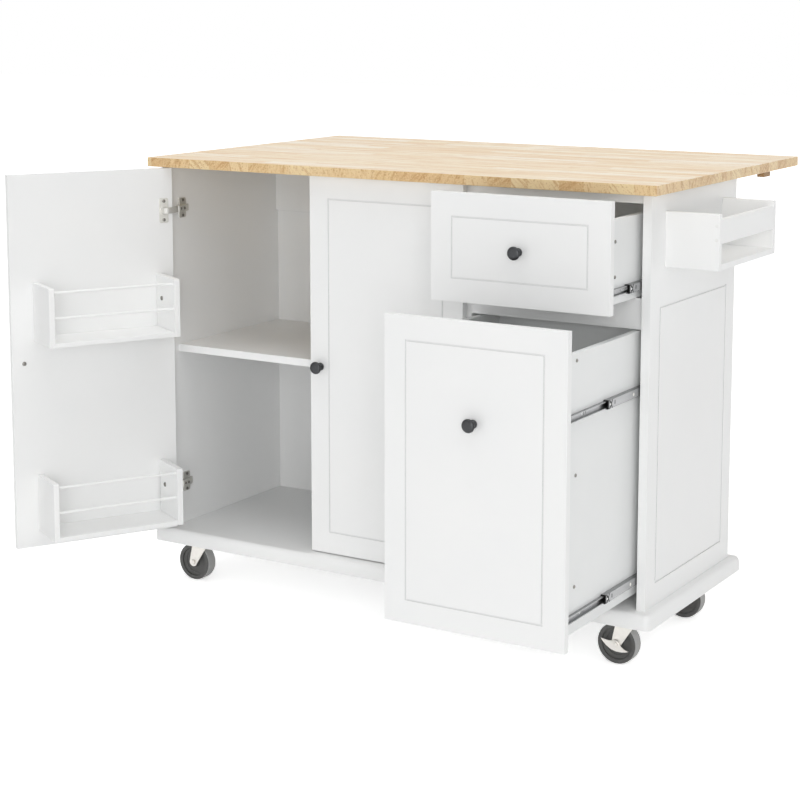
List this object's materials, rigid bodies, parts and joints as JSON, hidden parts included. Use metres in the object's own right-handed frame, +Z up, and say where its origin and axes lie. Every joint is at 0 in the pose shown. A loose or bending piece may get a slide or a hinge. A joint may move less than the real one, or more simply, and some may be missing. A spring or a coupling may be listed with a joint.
{
  "type": "drop leaf kitchen island",
  "caption": "Wheeled kitchen island with a rear drop leaf on swing-out supports, a shelved cupboard with door racks, a shallow drawer over a tall bin drawer, and a side spice rack.",
  "frame": {"origin": "on the floor, under the middle of the box that the island fills at rest, with its leaf up, its left door open and its drawers drawn out", "axes": "+X to the right seen from the front, where the doors and drawers open; +Y to the rear, where the leaf is; +Z up"},
  "size_m": [1.4452, 1.0652, 0.955],
  "materials": {
    "white_lacquer": "satin lacquer on board",
    "drawer_white": "satin lacquer on board",
    "rubberwood": "satin clear finish on finger-jointed butcher block",
    "plain_wood": "plain, unfinished",
    "dark_knob": "satin dark gunmetal",
    "slide_zinc": "zinc plated",
    "hinge_nickel": "nickel plated",
    "caster_zinc": "bright zinc plated",
    "wheel_grey": "matte"
  },
  "bodies": {
    "island": {"tabletop_main": "rubberwood", "leaf_hinge_fixed": "hinge_nickel", "base_board": "white_lacquer", "side_panel_left": "white_lacquer", "side_panel_right": "white_lacquer", "divider_panel": "white_lacquer", "drawer_rail": "white_lacquer", "back_panel": "white_lacquer", "shelf_board": "white_lacquer", "hinge_arm_left_upper": "hinge_nickel", "hinge_arm_left_lower": "hinge_nickel", "hinge_arm_right_upper": "hinge_nickel", "hinge_arm_right_lower": "hinge_nickel", "small_slide_left_cabinet": "slide_zinc", "small_slide_right_cabinet": "slide_zinc", "bin_upper_slide_left_cabinet": "slide_zinc", "bin_upper_slide_right_cabinet": "slide_zinc", "bin_lower_slide_left_cabinet": "slide_zinc", "bin_lower_slide_right_cabinet": "slide_zinc", "spice_rack": "white_lacquer"},
    "leaf": {"drop_leaf": "rubberwood", "leaf_hinge_moving": "hinge_nickel", "leaf_block_left": "plain_wood", "leaf_block_right": "plain_wood"},
    "support_left": {"leaf_support_left": "white_lacquer"},
    "support_right": {"leaf_support_right": "white_lacquer"},
    "door_left": {"door_left": "white_lacquer", "door_left_knob": "dark_knob", "hinge_cup_left_upper": "hinge_nickel", "hinge_cup_left_lower": "hinge_nickel", "door_rack_upper": "white_lacquer", "door_rack_lower": "white_lacquer"},
    "door_right": {"door_right": "white_lacquer", "door_right_knob": "dark_knob", "hinge_cup_right_upper": "hinge_nickel", "hinge_cup_right_lower": "hinge_nickel"},
    "small_drawer": {"small_drawer_front": "white_lacquer", "small_drawer_knob": "dark_knob", "small_drawer_box": "drawer_white", "small_drawer_bottom": "drawer_white"},
    "small_slides": {"small_slide_left_middle": "slide_zinc", "small_slide_right_middle": "slide_zinc"},
    "bin_drawer": {"bin_drawer_front": "white_lacquer", "bin_drawer_knob": "dark_knob", "bin_drawer_box": "drawer_white", "bin_drawer_bottom": "drawer_white"},
    "bin_slides": {"bin_upper_slide_left_middle": "slide_zinc", "bin_upper_slide_right_middle": "slide_zinc", "bin_lower_slide_left_middle": "slide_zinc", "bin_lower_slide_right_middle": "slide_zinc"},
    "fork_front_left": {"caster_fork_front_left": "caster_zinc"},
    "wheel_front_left": {"caster_wheel_front_left": "wheel_grey"},
    "fork_front_right": {"caster_fork_front_right": "caster_zinc"},
    "wheel_front_right": {"caster_wheel_front_right": "wheel_grey"},
    "brake_front_right": {"caster_brake_front_right": "caster_zinc"},
    "fork_rear_left": {"caster_fork_rear_left": "caster_zinc"},
    "wheel_rear_left": {"caster_wheel_rear_left": "wheel_grey"},
    "brake_rear_left": {"caster_brake_rear_left": "caster_zinc"},
    "fork_rear_right": {"caster_fork_rear_right": "caster_zinc"},
    "wheel_rear_right": {"caster_wheel_rear_right": "wheel_grey"}
  },
  "joints": [
    {"name": "leaf_fold", "type": "hinge", "parent": "island", "child": "leaf", "pos_m": [0.0325, 0.2555, 0.932], "axis": [1, 0, 0], "range_deg": [-90, 0]},
    {"name": "support_left_swing", "type": "hinge", "parent": "island", "child": "support_left", "pos_m": [-0.5315, 0.227, 0.9], "axis": [0, 0, 1], "range_deg": [0, 90]},
    {"name": "support_right_swing", "type": "hinge", "parent": "island", "child": "support_right", "pos_m": [0.5965, 0.227, 0.9], "axis": [0, 0, -1], "range_deg": [0, 90]},
    {"name": "left_door_hinge", "type": "hinge", "parent": "island", "child": "door_left", "pos_m": [-0.529, -0.197, 0.532], "axis": [0, 0, 1], "range_deg": [0, 119.5]},
    {"name": "right_door_hinge", "type": "hinge", "parent": "island", "child": "door_right", "pos_m": [0.207, -0.197, 0.532], "axis": [0, 0, 1], "range_deg": [0, 85]},
    {"name": "small_drawer_slide", "type": "slide", "parent": "island", "child": "small_drawer", "axis": [0, -1, 0], "range_m": [-0.134, 0.246]},
    {"name": "small_slides_run", "type": "slide", "parent": "island", "child": "small_slides", "axis": [0, -1, 0], "range_m": [-0.067, 0.123]},
    {"name": "bin_drawer_slide", "type": "slide", "parent": "island", "child": "bin_drawer", "axis": [0, -1, 0], "range_m": [-0.303, 0.077]},
    {"name": "bin_slides_run", "type": "slide", "parent": "island", "child": "bin_slides", "axis": [0, -1, 0], "range_m": [-0.1515, 0.0385]},
    {"name": "front_left_swivel", "type": "hinge", "parent": "island", "child": "fork_front_left", "pos_m": [-0.4885, -0.1485, 0.099], "axis": [0, 0, 1], "continuous": true},
    {"name": "front_left_wheel", "type": "hinge", "parent": "fork_front_left", "child": "wheel_front_left", "pos_m": [-0.5045, -0.1485, 0.0415], "axis": [0, 1, 0], "continuous": true},
    {"name": "front_right_swivel", "type": "hinge", "parent": "island", "child": "fork_front_right", "pos_m": [0.5535, -0.1485, 0.099], "axis": [0, 0, 1], "continuous": true},
    {"name": "front_right_wheel", "type": "hinge", "parent": "fork_front_right", "child": "wheel_front_right", "pos_m": [0.5375, -0.1485, 0.0415], "axis": [0, 1, 0], "continuous": true},
    {"name": "front_right_brake", "type": "hinge", "parent": "fork_front_right", "child": "brake_front_right", "pos_m": [0.5375, -0.1485, 0.0415], "axis": [0, 1, 0], "range_deg": [-12, 0]},
    {"name": "rear_left_swivel", "type": "hinge", "parent": "island", "child": "fork_rear_left", "pos_m": [-0.4885, 0.1795, 0.099], "axis": [0, 0, 1], "continuous": true},
    {"name": "rear_left_wheel", "type": "hinge", "parent": "fork_rear_left", "child": "wheel_rear_left", "pos_m": [-0.5045, 0.1795, 0.0415], "axis": [0, 1, 0], "continuous": true},
    {"name": "rear_left_brake", "type": "hinge", "parent": "fork_rear_left", "child": "brake_rear_left", "pos_m": [-0.5045, 0.1795, 0.0415], "axis": [0, 1, 0], "range_deg": [-12, 0]},
    {"name": "rear_right_swivel", "type": "hinge", "parent": "island", "child": "fork_rear_right", "pos_m": [0.5535, 0.1795, 0.099], "axis": [0, 0, 1], "continuous": true},
    {"name": "rear_right_wheel", "type": "hinge", "parent": "fork_rear_right", "child": "wheel_rear_right", "pos_m": [0.5375, 0.1795, 0.0415], "axis": [0, 1, 0], "continuous": true}
  ],
  "couplings": [
    {"joint": "small_slides_run", "follows": "small_drawer_slide", "ratio": 0.5},
    {"joint": "bin_slides_run", "follows": "bin_drawer_slide", "ratio": 0.5}
  ]
}
